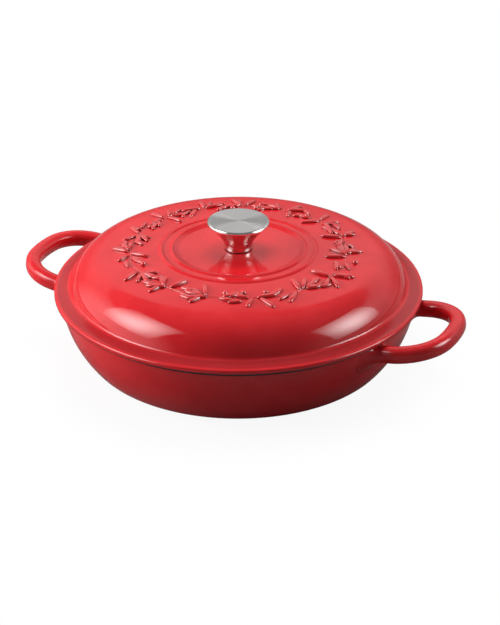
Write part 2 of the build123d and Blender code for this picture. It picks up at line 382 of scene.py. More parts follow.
# Steels: brushed face, polished stem and edge, plain fastenings
steelSizes = {
    "tone": (0.63, 0.61, 0.59, 1.0),
    "bright": (0.92, 0.91, 0.90, 1.0),
    "dull": (0.72, 0.71, 0.70, 1.0),
    "ringNoise": (9000.0, 3.0, 0.7),
    "bandNoise": (900.0, 2.0, 0.5),
    "smearNoise": (60.0, 3.0, 0.6),
    "capSmearNoise": (90.0, 3.0, 0.6),
    "fineNoise": (700.0, 2.0, 0.5),
    "grainNoise": (1200.0, 3.0, 0.6),
    "ringBump": (0.25, 0.006),
    "edgeBump": (0.1, 0.004),
    "fineBump": (0.2, 0.004),
    "grainBump": (0.3, 0.01),
    "ringShare": 0.6,
    "bandShare": 0.4,
    "smearShare": 0.4,
    "smearReach": (0.3, 0.75),
    "faceReach": (0.4, 1.0),
    "edgeReach": (0.3, 0.7),
    "grainReach": (0.3, 0.7),
    "faceRadius": 24.6,
    "faceTop": 118.6,
    "faceSoft": (0.15, 0.1),
    "brushing": 0.85,
    "stemRoughness": (0.0315, 0.0675),
    "faceRoughness": (0.26, 0.38),
    "edgeRoughness": (0.04, 0.09),
    "grainRoughness": (0.3, 0.45),
}


def polishedSteel(name):
    s = steelSizes
    material, graph = newMaterial(name)
    place = graph.place()
    smear = graph.noise(place, s["smearNoise"])
    fine = graph.noise(place, s["fineNoise"])
    tone = graph.blend(smear, s["tone"], s["bright"])
    rough = graph.ramp(smear, *s["smearReach"], *s["stemRoughness"])
    shader = graph.principled(tone, rough, graph.bump(fine, s["fineBump"]), {"Metallic": 1.0})
    graph.finish("ShaderNodeOutputMaterial", shader)
    return material


def brushedCap(name):
    s = steelSizes
    material, graph = newMaterial(name)
    place = graph.place()
    across = graph.across(place)
    line = graph.node("ShaderNodeCombineXYZ", {}, {0: across, 1: 0.0, 2: 0.0})
    rings = graph.noise(line, s["ringNoise"])
    bands = graph.noise(line, s["bandNoise"])
    smear = graph.noise(place, s["capSmearNoise"])
    tone = graph.blend(rings * s["ringShare"] + bands * s["bandShare"], s["dull"], s["bright"])
    rough = graph.ramp(bands + smear * s["smearShare"], *s["faceReach"], *s["faceRoughness"])
    brushed = graph.principled(
        tone, rough, graph.bump(rings, s["ringBump"]), {"Metallic": 1.0, "Anisotropic": s["brushing"]})
    rough = graph.ramp(smear, *s["edgeReach"], *s["edgeRoughness"])
    polished = graph.principled(s["bright"], rough, graph.bump(smear, s["edgeBump"]), {"Metallic": 1.0})
    outwards, down = s["faceSoft"]
    onFace = graph.ramp(across, s["faceRadius"] * mm, (s["faceRadius"] + outwards) * mm, 1.0, 0.0)
    onTop = graph.ramp(graph.split(place).out("Z"), (s["faceTop"] - down) * mm, s["faceTop"] * mm)
    graph.finish("ShaderNodeOutputMaterial", graph.mixShader(onFace * onTop, polished, brushed))
    return material


def plainSteel(name):
    s = steelSizes
    material, graph = newMaterial(name)
    grain = graph.noise(graph.place(), s["grainNoise"])
    tone = graph.blend(grain, s["dull"], s["tone"])
    rough = graph.ramp(grain, *s["grainReach"], *s["grainRoughness"])
    shader = graph.principled(tone, rough, graph.bump(grain, s["grainBump"]), {"Metallic": 1.0})
    graph.finish("ShaderNodeOutputMaterial", shader)
    return material


# Silicone: soft black gasket
siliconeSizes = {
    "black": (0.012, 0.012, 0.013, 1.0),
    "grey": (0.03, 0.03, 0.032, 1.0),
    "grainNoise": (1500.0, 2.0, 0.5),
    "grainBump": (0.3, 0.02),
    "grainReach": (0.3, 0.7),
    "roughness": (0.45, 0.62),
}


def siliconeMaterial(name):
    s = siliconeSizes
    material, graph = newMaterial(name)
    grain = graph.noise(graph.place(), s["grainNoise"])
    tone = graph.blend(grain, s["black"], s["grey"])
    rough = graph.ramp(grain, *s["grainReach"], *s["roughness"])
    shader = graph.principled(tone, rough, graph.bump(grain, s["grainBump"]))
    graph.finish("ShaderNodeOutputMaterial", shader)
    return material


wreathEnamel = wreathEnamelMaterial("wreathEnamel")
capSteel = brushedCap("capSteel")
stemSteel = polishedSteel("stemSteel")
fasteningSteel = plainSteel("fasteningSteel")
gasketSilicone = siliconeMaterial("gasketSilicone")

print("stage: pan")

# Pan: bowl with a bulging wall and a recessed foot
panSizes = {
    "radius": 150.0,
    "height": 57.8,
    "baseRadius": 124.5,
    "bulge": 5.6,
    "corner": 14.0,
    "wall": 4.2,
    "floor": 5.4,
    "innerCorner": 16.0,
    "rimRound": 0.9,
    "rimLean": 0.12,
    "rimMargin": 0.2,
    "footRadius": 107.0,
    "footRecess": 0.7,
    "insideWall": 2.6,
    "insideFloor": 3.0,
    "rimOut": 150.6,
    "segments": 320,
}


def bulgingWall(low, high, bulge):  # centre and radius of the arc that bulges out between two points
    across = high[0] - low[0]
    up = high[1] - low[1]
    chord = math.hypot(across, up)
    radius = (chord ** 2 / 4 + bulge ** 2) / (2 * bulge)
    inward = radius - bulge
    middle = ((low[0] + high[0]) / 2, (low[1] + high[1]) / 2)
    return (middle[0] - up / chord * inward, middle[1] + across / chord * inward), radius


def wallProfile(low, high, bulge, corner):  # rounded corner at the foot, then the arc up to the top
    centre, radius = bulgingWall(low, high, bulge)
    cornerHeight = low[1] + corner
    cornerAcross = centre[0] + math.sqrt((radius - corner) ** 2 - (cornerHeight - centre[1]) ** 2)
    touch = math.degrees(math.atan2(cornerHeight - centre[1], cornerAcross - centre[0]))
    top = math.degrees(math.atan2(high[1] - centre[1], high[0] - centre[0]))
    foot = arc((cornerAcross, cornerHeight), corner, -90.0, touch, 14)
    return foot + arc(centre, radius, touch, top, 26)[1:]


def panProfile(s):
    radius, wall, edge, lean = s["radius"], s["wall"], s["rimRound"], s["rimLean"]
    foot, recess, floor, height = s["footRadius"], s["footRecess"], s["floor"], s["height"]
    outer = wallProfile((s["baseRadius"], 0.0), (radius, height), s["bulge"], s["corner"])
    inner = wallProfile(
        (s["baseRadius"] - wall, floor), (radius - wall, height), s["bulge"], s["innerCorner"])
    top = height - edge
    outer = [p for p in outer if p[1] < top - s["rimMargin"]]
    inner = [p for p in inner if p[1] < top - s["rimMargin"]]
    # underside, with close points that keep the edge of the recess crisp
    points = [(0.0, recess), (foot - 1.2, recess), (foot - 0.3, recess)]
    points += [(foot, recess - 0.3), (foot, 0.2), (foot + 0.2, 0.0)]
    points += along((foot + 1.0, 0.0), (outer[0][0] - 1.0, 0.0), 2) + outer
    points += arc((radius - edge - lean, top), edge, 0.0, 90.0, 6)
    points += arc((radius - wall + edge - lean, top), edge, 90.0, 180.0, 6)
    return points + inner[::-1] + along((inner[0][0] - 1.0, floor), (0.0, floor), 8)


def panInside(graph, across, height):  # nearer the inner face of the wall and above the middle of the floor
    s = panSizes
    share = height / s["height"]
    bulge = share * (1.0 - share) * (4 * s["bulge"])
    middle = share * (s["radius"] - s["baseRadius"]) + bulge + (s["baseRadius"] - s["insideWall"])
    return graph.maths("LESS_THAN", across, middle) * graph.maths("GREATER_THAN", height, s["insideFloor"])


# Handles: a rounded bar along an arch, flared into the wall at both roots
handleSizes = {
    "length": 47.9,
    "span": 102.0,
    "bow": 13.0,
    "corner": 42.0,
    "bar": 13.2,
    "thickness": 13.4,
    "drop": 9.2,
    "tilt": 8.5,
    "roundness": 2.55,
    "outerFlare": 13.0,
    "innerFlare": 6.0,
    "topFlare": 2.4,
    "underFlare": 7.0,
    "depth": 0.012,
    "around": 44,
    "flareSteps": 22,
    "cornerSteps": 26,
    "tipSteps": 16,
    "seekFrom": -8.0,
    "seekSteps": 12,
}


def handleMesh(s, side):
    rimPoint = (panSizes["radius"], panSizes["height"])
    wallCentre, wallRadius = bulgingWall((panSizes["baseRadius"], 0.0), rimPoint, panSizes["bulge"])
    tilt = math.radians(s["tilt"])
    middleHeight = panSizes["height"] - s["drop"]
    half = s["span"] / 2
    tipRadius = (half ** 2 + s["bow"] ** 2) / (2 * s["bow"])
    tipCentre = s["length"] - tipRadius
    turnCentre = tipCentre + math.sqrt((tipRadius - s["corner"]) ** 2 - (half - s["corner"]) ** 2)
    turnSide = half - s["corner"]
    tipTurn = math.degrees(math.atan2(turnSide, turnCentre - tipCentre))
    turns = np.linspace(0.0, 2 * math.pi, s["around"], endpoint=False)
    power = 2.0 / s["roundness"]
    section = []
    for t in turns:
        c, d = math.cos(t), math.sin(t)
        out = math.copysign(abs(c) ** power, c) * s["bar"] / 2
        up = math.copysign(abs(d) ** power, d) * s["thickness"] / 2
        flare = c * c * (s["outerFlare"] if c > 0 else s["innerFlare"])
        flare += d * d * (s["topFlare"] if d > 0 else s["underFlare"])
        section.append((out, up, c, d, flare))

    def world(u, v, w):
        return (
            side * (panSizes["radius"] + u * math.cos(tilt) - w * math.sin(tilt)),
            side * v,
            middleHeight + u * math.sin(tilt) + w * math.cos(tilt),
        )

    def wallAt(v, w):  # closes in on the wall's outer face
        u = s["seekFrom"]
        for _ in range(s["seekSteps"]):
            height = middleHeight + u * math.sin(tilt) + w * math.cos(tilt)
            radius = wallCentre[0] + math.sqrt(wallRadius ** 2 - (height - wallCentre[1]) ** 2)
            u = (math.sqrt(radius ** 2 - v ** 2) - panSizes["radius"] + w * math.sin(tilt)) / math.cos(tilt)
        return u

    def rootRings(sign):
        made = []
        for step in range(s["flareSteps"] + 1):
            share = 1.0 - math.cos(math.pi / 2 * (step / s["flareSteps"]))
            ring = []
            for out, up, c, d, flare in section:
                reach = turnCentre - wallAt(sign * (half - s["bar"] / 2 + out), up)
                gone = reach * share
                spread = flare - math.sqrt(max(flare ** 2 - max(flare - gone, 0.0) ** 2, 0.0))
                v = sign * (half - s["bar"] / 2 + out + c * spread)
                w = up + d * spread
                start = wallAt(v, w) - s["depth"]
                settle = min(gone / flare, 1.0)
                end = turnCentre - (reach - gone)
                ring.append(world((start + gone) * (1.0 - settle) + end * settle, v, w))
            made.append(ring)
        return made

    def arcRings(centre, radius, start, end, steps):
        made = []
        for turn in np.radians(np.linspace(start, end, steps + 1)):
            ring = []
            for out, up, *rest in section:
                far = radius - s["bar"] / 2 + out
                ring.append(world(centre[0] + far * math.cos(turn), centre[1] + far * math.sin(turn), up))
            made.append(ring)
        return made

    rings = rootRings(-1)
    rings += arcRings((turnCentre, -turnSide), s["corner"], -90.0, -tipTurn, s["cornerSteps"])[1:]
    rings += arcRings((tipCentre, 0.0), tipRadius, -tipTurn, tipTurn, s["tipSteps"])[1:]
    rings += arcRings((turnCentre, turnSide), s["corner"], tipTurn, 90.0, s["cornerSteps"])[1:]
    rings += rootRings(1)[::-1][1:]
    count = len(section)
    points = [point for ring in rings for point in ring]
    faces = []
    for r in range(len(rings) - 1):
        for k in range(count):
            n = (k + 1) % count
            faces.append((r * count + k, r * count + n, (r + 1) * count + n, (r + 1) * count + k))
    for ring, flip in ((0, True), (len(rings) - 1, False)):
        indexes = list(range(ring * count, (ring + 1) * count))
        middle = len(points)
        points.append(tuple(np.mean([points[i] for i in indexes], axis=0)))
        for k in range(count):
            pair = (indexes[k], indexes[(k + 1) % count])
            faces.append((middle, *(pair[::-1] if flip else pair)))
    return points, faces


panBowl = lathe(panProfile(panSizes), panSizes["segments"])
panEnamel = enamelMaterial("panEnamel", panInside, panSizes["rimOut"])
makeObject(
    "pan_body",
    joinMeshes(panBowl, handleMesh(handleSizes, 1.0), handleMesh(handleSizes, -1.0)),
    panEnamel, "pan", "pan")

print("stage: lid")

# Lid: sunk floor, two rings, crown, shoulder, cove, flange and lip
lidSizes = {
    "radius": 155.0,
    "seat": 57.8,
    "top": 95.2,
    "crownRadius": 1100.0,
    "shoulder": 33.0,
    "domeRadius": 142.6,
    "wall": 4.2,
    "flangeEdge": 3.8,
    "flangeRise": 3.2,
    "flangeDip": 0.45,
    "cove": 3.0,
    "coveSearch": (5.0, 40.0, 7001),
    "edgeRound": 1.7,
    "underRound": 0.8,
    "lipRadius": 144.7,
    "lipDepth": 4.6,
    "lipRound": 1.4,
    "lipInnerRound": 0.5,
    "floorRadius": 49.5,
    "floorDepth": 2.0,
    "floorWall": 4.6,
    "bossSlope": 4.0,
    "rings": (55.5, 64.6),
    "ringHalf": 3.0,
    "ringRise": 0.95,
    "holeRadius": 3.4,
    "insideWall": 2.0,
    "insideRadius": 146.0,
    "insideTurn": (109.0, 110.0),
    "rimOut": 158.0,
    "flangeShadeSpan": (143.6, 152.6),
    "segments": 320,
}


def crownHeight(radius, rise=0.0):
    centre = lidSizes["top"] - lidSizes["crownRadius"]
    return centre + math.sqrt((lidSizes["crownRadius"] + rise) ** 2 - radius ** 2)


def smooth(share):
    share = min(max(share, 0.0), 1.0)
    return share * share * (3 - 2 * share)


def lidTopHeight(radius):
    s = lidSizes
    floor = s["top"] - s["floorDepth"]
    rise = smooth((radius - s["floorRadius"]) / s["bossSlope"])
    height = floor + (crownHeight(radius) - floor) * rise
    for ring in s["rings"]:
        away = abs(radius - ring) / s["ringHalf"]
        if away < 1.0:
            height += s["ringRise"] * 0.5 * (1 + math.cos(math.pi * away))
    return height


def lidShoulder(s):  # centre of the shoulder's arc
    centre = s["top"] - s["crownRadius"]
    across = s["domeRadius"] - s["shoulder"]
    return across, centre + math.sqrt((s["crownRadius"] - s["shoulder"]) ** 2 - across ** 2)


def lidInside(graph, across, height):  # below the middle of the casting's thickness
    s = lidSizes
    shoulderAcross, shoulderHeight = lidShoulder(s)
    crown = graph.maths("SQRT", (s["crownRadius"] - s["insideWall"]) ** 2 - across * across)
    crown = crown - (s["crownRadius"] - s["top"])
    square = (s["shoulder"] - s["insideWall"]) ** 2 - (across - shoulderAcross) ** 2.0
    shoulder = graph.maths("SQRT", graph.maths("MAXIMUM", square, 0.0)) + shoulderHeight
    out = graph.ramp(across, *s["insideTurn"])
    middle = crown * (1.0 - out) + shoulder * out
    return graph.maths("LESS_THAN", across, s["insideRadius"]) * graph.maths("LESS_THAN", height, middle)


def lidProfile(s):
    centre = s["top"] - s["crownRadius"]
    across, shoulderHeight = lidShoulder(s)
    crownTurn = math.degrees(math.atan2(shoulderHeight - centre, across))
    innerEdge = across + (s["shoulder"] - s["wall"]) * math.cos(math.radians(crownTurn))
    outerEdge = across + s["shoulder"] * math.cos(math.radians(crownTurn))
    floor = s["top"] - s["floorDepth"]
    under = floor - s["floorWall"]
    seat = s["seat"]
    low = seat - s["lipDepth"]
    # underside, from the hole outwards
    bossEdge = s["floorRadius"] + s["bossSlope"]
    points = [(s["holeRadius"], under)] + along((s["holeRadius"] + 0.4, under), (s["floorRadius"], under), 6)
    for radius in np.linspace(bossEdge, innerEdge, 20):
        points.append((radius, crownHeight(radius, -s["wall"])))
    points += arc((across, shoulderHeight), s["shoulder"] - s["wall"], crownTurn, 0.0, 24)[1:]
    side = across + s["shoulder"] - s["wall"]
    inner = s["lipInnerRound"]
    points += [(side, low + (inner + 0.1))] + arc((side + inner, low + inner), inner, 180.0, 270.0, 3)
    points += arc((s["lipRadius"] - s["lipRound"], low + s["lipRound"]), s["lipRound"], -90.0, 0.0, 6)
    points += [(s["lipRadius"], seat - 0.4), (s["lipRadius"] + 0.1, seat - 0.1), (s["lipRadius"] + 0.4, seat)]
    points += along((s["lipRadius"] + 1.0, seat), (s["radius"] - s["underRound"] - 0.4, seat), 4)
    points += arc((s["radius"] - s["underRound"], seat + s["underRound"]), s["underRound"], -90.0, 0.0, 5)
    # flange: edge, slope and cove
    flangeTop = seat + s["flangeEdge"] + s["flangeRise"]
    rise = flangeTop - shoulderHeight
    footAcross = across + math.sqrt(s["shoulder"] ** 2 - rise ** 2)
    slope = math.atan2(s["flangeRise"], s["radius"] - footAcross)
    turn = math.degrees(math.pi / 2 - slope)
    normal = (math.sin(slope), math.cos(slope))
    edge = s["edgeRound"]
    # centre of the edge's arc: on the line parallel to the slope, one radius in
    edgeAcross = s["radius"] - edge
    edgeHeight = seat + s["flangeEdge"] + (edge - edge * normal[0]) * math.tan(slope) - edge * normal[1]
    points += arc((edgeAcross, edgeHeight), edge, 0.0, turn, 8)
    # cove: touches the slope from above and the shoulder's arc from outside
    cove = s["cove"]
    reach = s["shoulder"] + cove
    best = None
    for angle in np.radians(np.linspace(*s["coveSearch"])):
        coveCentre = (across + reach * math.cos(angle), shoulderHeight + reach * math.sin(angle))
        onSlope = seat + s["flangeEdge"] + (s["radius"] - coveCentre[0]) * math.tan(slope)
        gap = (coveCentre[1] - onSlope) * normal[1] - cove
        if best is None or abs(gap) < best[0]:
            best = (abs(gap), coveCentre, math.degrees(angle))
    coveCentre, coveTurn = best[1], best[2]
    foot = (coveCentre[0] - cove * normal[0], coveCentre[1] - cove * normal[1])
    last = points[-1]
    dip = [math.sin(math.pi * share) for share in np.linspace(0.0, 1.0, 9)]
    points += [
        (p[0] - s["flangeDip"] * d * normal[0], p[1] - s["flangeDip"] * d * normal[1])
        for p, d in zip(along(last, foot, 8), dip)][1:-1]
    points += arc(coveCentre, cove, 270.0 - math.degrees(slope), 180.0 + coveTurn, 8)
    points += arc((across, shoulderHeight), s["shoulder"], coveTurn, crownTurn, 34)[1:]
    # crown inwards over the rings to the floor
    for radius in np.linspace(outerEdge, s["rings"][1] + s["ringHalf"] + 0.5, 16)[1:]:
        points.append((radius, lidTopHeight(radius)))
    for radius in np.linspace(s["rings"][1] + s["ringHalf"], s["floorRadius"] - 0.5, 62):
        points.append((radius, lidTopHeight(radius)))
    points += along((s["floorRadius"] - 2.0, floor), (s["holeRadius"] + 0.3, floor), 8)
    points += [(s["holeRadius"], floor - 0.3), (s["holeRadius"], under + 0.3)]
    return points


lidEnamel = enamelMaterial("lidEnamel", lidInside, lidSizes["rimOut"], lidSizes["flangeShadeSpan"])
makeObject(
    "lid_body", lathe(lidProfile(lidSizes), lidSizes["segments"]),
    lidEnamel, "lid", "lid")

print("stage: wreath")

# Wreath: leaves, berries and a stem that geometry nodes set out and drape over the crown
wreathSizes = {
    "radius": 91.0,
    "start": 16.2,
    "longLeaf": (17.5, 4.7),
    "shortLeaf": (13.0, 4.3),
    "fillLeaf": (11.5, 4.1),
    "fillTurns": ((14.0, 5.5), (-158.0, -5.0), (38.0, -4.0)),
    "spread": 2.6,
    "leafRise": 2.2,
    "leafStart": 0.8,
    "stemWidth": 1.5,
    "stemRise": 0.38,
    "stemWander": 1.3,
    "berryRadius": 2.5,
    "berryRise": 2.7,
    "berryReach": 8.0,
    "shortRise": 0.92,
    "riseScatter": 0.06,
    "riseLimit": 1.02,
    "fillRise": 0.86,
    "fillShift": 2.5,
    "fillScatter": 14.0,
    "stemSteps": 240,
    "stemSides": 10,
    "budSegments": 16,
    "seed": 7,
}

# Buds: how much one end narrows, how blunt the outline is, where the top lies, and rings of reach and height
leafBud = {
    "taper": 0.22,
    "blunt": 0.78,
    "topShift": 0.08,
    "levels": ((1.04, -0.35), (1.03, -0.05), (1.0, 0.4), (0.9, 0.86), (0.55, 1.1)),
}
berryBud = {
    "taper": 0.0,
    "blunt": 1.0,
    "topShift": 0.0,
    "levels": ((1.05, -0.35), (1.03, -0.05), (0.98, 0.4), (0.8, 0.9), (0.42, 1.1)),
}

# Turns of each sprig's long leaves, short leaves and berries, anticlockwise from the wreath's own way
sprigTurns = (
    ((106, 61, 33, 11), (-24, -60), (-95,)),
    ((73, 150, -57), (-90, 20), (105, 175)),
    ((65, 162, -70), (-110, -145), (15,)),
    ((-153, -103, -13, 17), (100, -60), ()),
    ((-120, -60, 20, 160), (-90,), (75, 110)),
    ((-5, -95, -175, 55), (-125,), ()),
    ((-91, 9, 94), (-131, 144, 54), ()),
    ((-132, 53, 28), (-32, 83, -100), (150,)),
    ((-127, 61, -157), (-44, 175, -95), ()),
    ((-65, -4, 24), (-40, 64), (100,)),
    ((-156, 140, 77), (-100, 115), ()),
    ((-164, 169, 106), (-124, 141, -6), (60,)),
    ((10, -58), (-119, 149), (62, 95, 122)),
    ((77, 50, -144), (24, -10), ()),
    ((-57, -129, 95), (-90, -160), (20,)),
)


def budMesh(name, s):  # unit bud, one half-length each way, closed below the surface
    segments = wreathSizes["budSegments"]
    levels = s["levels"]
    points = []
    for reach, height in levels:
        for turn in np.linspace(0.0, 2 * math.pi, segments, endpoint=False):
            c, d = math.cos(turn), math.sin(turn)
            x = math.copysign(abs(c) ** s["blunt"], c)
            y = math.copysign(abs(d) ** s["blunt"], d)
            width = 1.0 - s["taper"] * (0.5 - 0.5 * x) ** 2
            points.append((x * reach, y * reach * width, height))
    bottom = len(points)
    points.append((0.0, 0.0, levels[0][1]))
    points.append((s["topShift"], 0.0, 1.0))
    faces = []
    for level in range(len(levels) - 1):
        for k in range(segments):
            n = (k + 1) % segments
            first = level * segments
            faces.append((first + k, first + n, first + segments + n, first + segments + k))
    last = (len(levels) - 1) * segments
    for k in range(segments):
        n = (k + 1) % segments
        faces.append((n, k, bottom))
        faces.append((last + k, last + n, bottom + 1))
    data = bpy.data.meshes.new(name)
    data.from_pydata(points, [], faces)
    return bpy.data.objects.new(name, data)


def wreathPlaces(s):
    places = []
    random = np.random.default_rng(s["seed"])
    longReach = s["leafStart"] + s["longLeaf"][0] / 2
    shortReach = s["leafStart"] + s["shortLeaf"][0] / 2
    for number, (longTurns, shortTurns, berryTurns) in enumerate(sprigTurns):
        angle = math.radians(s["start"] + number * 360.0 / len(sprigTurns))
        node = (s["radius"] * math.cos(angle), s["radius"] * math.sin(angle))
        step = 0
        for turns, size, reach, rise, isBerry in (
            (longTurns, s["longLeaf"], longReach, s["leafRise"], False),
            (shortTurns, s["shortLeaf"], shortReach, s["leafRise"] * s["shortRise"], False),
            (berryTurns, (2 * s["berryRadius"],) * 2, s["berryReach"], s["berryRise"], True),
        ):
            for turn in turns:
                way = angle + math.pi / 2 + math.radians(turn)
                slide = s["spread"] * math.copysign((step + 1) // 2, math.cos(math.radians(turn)))
                step += 1
                x = node[0] + reach * math.cos(way) - slide * math.sin(angle)
                y = node[1] + reach * math.sin(way) + slide * math.cos(angle)
                lift = min(rise * (1.0 + s["riseScatter"] * random.standard_normal()), rise * s["riseLimit"])
                places.append((x, y, way, size[0] / 2, size[1] / 2, lift, isBerry))
        # small leaves along the stem between this sprig and the next
        between = angle + math.pi / len(sprigTurns)
        for turn, outward in s["fillTurns"]:
            way = between + math.pi / 2 + math.radians(turn + s["fillScatter"] * random.standard_normal())
            far = s["radius"] + outward
            x = far * math.cos(between) + s["fillShift"] * math.cos(way)
            y = far * math.sin(between) + s["fillShift"] * math.sin(way)
            size = s["fillLeaf"]
            places.append((x, y, way, size[0] / 2, size[1] / 2, s["leafRise"] * s["fillRise"], False))
    return places


def pointObject(name, places):
    data = bpy.data.meshes.new(name)
    data.from_pydata([(x * mm, y * mm, 0.0) for x, y, *rest in places], [], [])
    turn = data.attributes.new("turn", "FLOAT_VECTOR", "POINT")
    stretch = data.attributes.new("stretch", "FLOAT_VECTOR", "POINT")
    berry = data.attributes.new("berry", "BOOLEAN", "POINT")
    for index, (x, y, way, long, wide, rise, isBerry) in enumerate(places):
        turn.data[index].vector = (0.0, 0.0, way)
        stretch.data[index].vector = (long * mm, wide * mm, rise * mm)
        berry.data[index].value = isBerry
    return addObject(name, data)


def wreathTree(s):
    tree = bpy.data.node_groups.new("wreathTree", "GeometryNodeTree")
    graph = Graph(tree)
    tree.interface.new_socket("Geometry", in_out="INPUT", socket_type="NodeSocketGeometry")
    for name, kind in (
        ("Leaf", "Object"), ("Berry", "Object"), ("Material", "Material"), ("Crown radius", "Float"),
        ("Crown centre", "Float"), ("Ring radius", "Float"), ("Stem width", "Float"), ("Stem rise", "Float"),
        ("Stem wander", "Float"), ("Sprigs", "Float"),
    ):
        tree.interface.new_socket(name, in_out="INPUT", socket_type="NodeSocket" + kind)
    tree.interface.new_socket("Geometry", in_out="OUTPUT", socket_type="NodeSocketGeometry")
    given = graph.node("NodeGroupInput")

    def attribute(name, kind):
        return graph.node("GeometryNodeInputNamedAttribute", {"data_type": kind}, {"Name": name}, "Attribute")

    turn = graph.node("FunctionNodeEulerToRotation", {}, {0: attribute("turn", "FLOAT_VECTOR")})
    stretch = attribute("stretch", "FLOAT_VECTOR")
    isBerry = attribute("berry", "BOOLEAN")
    isLeaf = graph.node("FunctionNodeBooleanMath", {"operation": "NOT"}, {0: isBerry})
    parts = []
    for name, chosen in (("Leaf", isLeaf), ("Berry", isBerry)):
        shape = {"Object": given.out(name)}
        bud = graph.node("GeometryNodeObjectInfo", {"transform_space": "ORIGINAL"}, shape, "Geometry")
        parts.append(graph.node("GeometryNodeInstanceOnPoints", {}, {
            "Points": given.out("Geometry"), "Selection": chosen,
            "Instance": bud, "Rotation": turn, "Scale": stretch}))

    # stem: a flat tube along a ring that sways once for each sprig
    place = graph.node("GeometryNodeInputPosition")
    ring = graph.node("GeometryNodeCurvePrimitiveCircle", {"mode": "RADIUS"}, {
        "Resolution": s["stemSteps"], "Radius": given.out("Ring radius")}, "Curve")
    spot = graph.split(place)
    bearing = graph.maths("ARCTAN2", spot.out("Y"), spot.out("X"))
    sway = graph.maths("SINE", bearing * given.out("Sprigs"))
    sway = sway * given.out("Stem wander") / given.out("Ring radius")
    sideways = graph.node("ShaderNodeVectorMath", {"operation": "SCALE"}, {0: place, "Scale": sway})
    ring = graph.node("GeometryNodeSetPosition", {}, {"Geometry": ring, "Offset": sideways})
    tube = graph.node("GeometryNodeCurvePrimitiveCircle", {"mode": "RADIUS"}, {
        "Resolution": s["stemSides"], "Radius": 1.0}, "Curve")
    size = graph.node("ShaderNodeCombineXYZ", {}, {
        0: given.out("Stem width") / 2.0, 1: given.out("Stem rise"), 2: 1.0})
    tube = graph.node("GeometryNodeTransform", {}, {"Geometry": tube, "Scale": size})
    stem = graph.node("GeometryNodeCurveToMesh", {}, {"Curve": ring, "Profile Curve": tube})

    # all of it, lifted onto the crown
    joined = graph.tree.nodes.new("GeometryNodeJoinGeometry")
    for part in parts + [stem]:
        graph.tree.links.new(part.socket, joined.inputs[0])
    whole = graph.node("GeometryNodeRealizeInstances", {}, {"Geometry": Wire(graph, joined.outputs[0])})
    whole = graph.node("GeometryNodeSubdivisionSurface", {}, {"Mesh": whole, "Level": 1})
    across = graph.across(place)
    crown = graph.maths("SQRT", given.out("Crown radius") * given.out("Crown radius") - across * across)
    lift = graph.node("ShaderNodeCombineXYZ", {}, {2: crown + given.out("Crown centre")})
    whole = graph.node("GeometryNodeSetPosition", {}, {"Geometry": whole, "Offset": lift})
    whole = graph.node("GeometryNodeSetShadeSmooth", {}, {"Geometry": whole})
    whole = graph.node("GeometryNodeSetMaterial", {}, {"Geometry": whole, "Material": given.out("Material")})
    output = tree.nodes.new("NodeGroupOutput")
    tree.links.new(whole.socket, output.inputs[0])
    return tree


def makeWreath(s):
    leaf = budMesh("leafBud", leafBud)
    berry = budMesh("berryBud", berryBud)
    holder = pointObject("wreathPoints", wreathPlaces(s))
    tree = wreathTree(s)
    modifier = holder.modifiers.new("wreath", "NODES")
    modifier.node_group = tree
    crownCentre = lidSizes["top"] - lidSizes["crownRadius"]
    values = {
        "Leaf": leaf, "Berry": berry, "Material": wreathEnamel,
        "Crown radius": lidSizes["crownRadius"] * mm, "Crown centre": crownCentre * mm,
        "Ring radius": s["radius"] * mm, "Stem width": s["stemWidth"] * mm, "Stem rise": s["stemRise"] * mm,
        "Stem wander": s["stemWander"] * mm, "Sprigs": float(len(sprigTurns)),
    }
    for item in tree.interface.items_tree:
        if item.in_out == "INPUT" and item.name in values:
            modifier[item.identifier] = values[item.name]
    holder.update_tag()
    graph = bpy.context.evaluated_depsgraph_get()
    graph.update()
    data = bpy.data.meshes.new_from_object(holder.evaluated_get(graph), depsgraph=graph)
    data.name = "lid_wreath"
    for name in ("turn", "stretch", "berry"):
        if name in data.attributes:
            data.attributes.remove(data.attributes[name])
    for used in (holder, leaf, berry):
        bpy.data.objects.remove(used)
    placePiece(addObject("lid_wreath", data), "lid")


makeWreath(wreathSizes)

print("stage: knob")

# Knob: flared stem and spun cap
knobSizes = {
    "foot": 94.0,
    "footRadius": 11.5,
    "footEdge": (0.35, 0.1),
    "mouthRadius": 24.3,
    "flare": 17.0,
    "flareTurn": 40.0,
    "wall": 1.3,
    "sole": 1.6,
    "holeRadius": 3.4,
    "capUnder": 115.9,
    "capTop": 118.7,
    "capRadius": 25.9,
    "capRound": 1.5,
    "capUnderRound": 0.7,
    "spigotRadius": 21.29,
    "spigotDepth": 1.5,
    "segments": 192,
}


def stemProfile(s):
    foot, radius, hole, under = s["foot"], s["footRadius"], s["holeRadius"], s["capUnder"]
    turn = math.radians(s["flareTurn"])
    outer = arc((radius + s["flare"], foot), s["flare"], 180.0, 180.0 - s["flareTurn"], 24)
    cone = along(outer[-1], (s["mouthRadius"], under), 10)[1:]
    sole = foot + s["sole"]
    insideMouth = (s["mouthRadius"] - s["wall"] / math.cos(turn), under)
    insideFoot = (outer[-1][0] - s["wall"] * math.cos(turn), outer[-1][1] + s["wall"] * math.sin(turn))
    insideLow = (radius - s["wall"], sole)
    inner = along(insideMouth, insideFoot, 6) + along(insideFoot, insideLow, 6)[1:]
    floor = along(insideLow, (hole, sole), 3)[1:]
    far, near = s["footEdge"]
    edge = [(hole, foot), (hole + 1.0, foot), (radius - far, foot), (radius - near, foot + near)]
    return edge + outer[1:] + cone + inner + floor


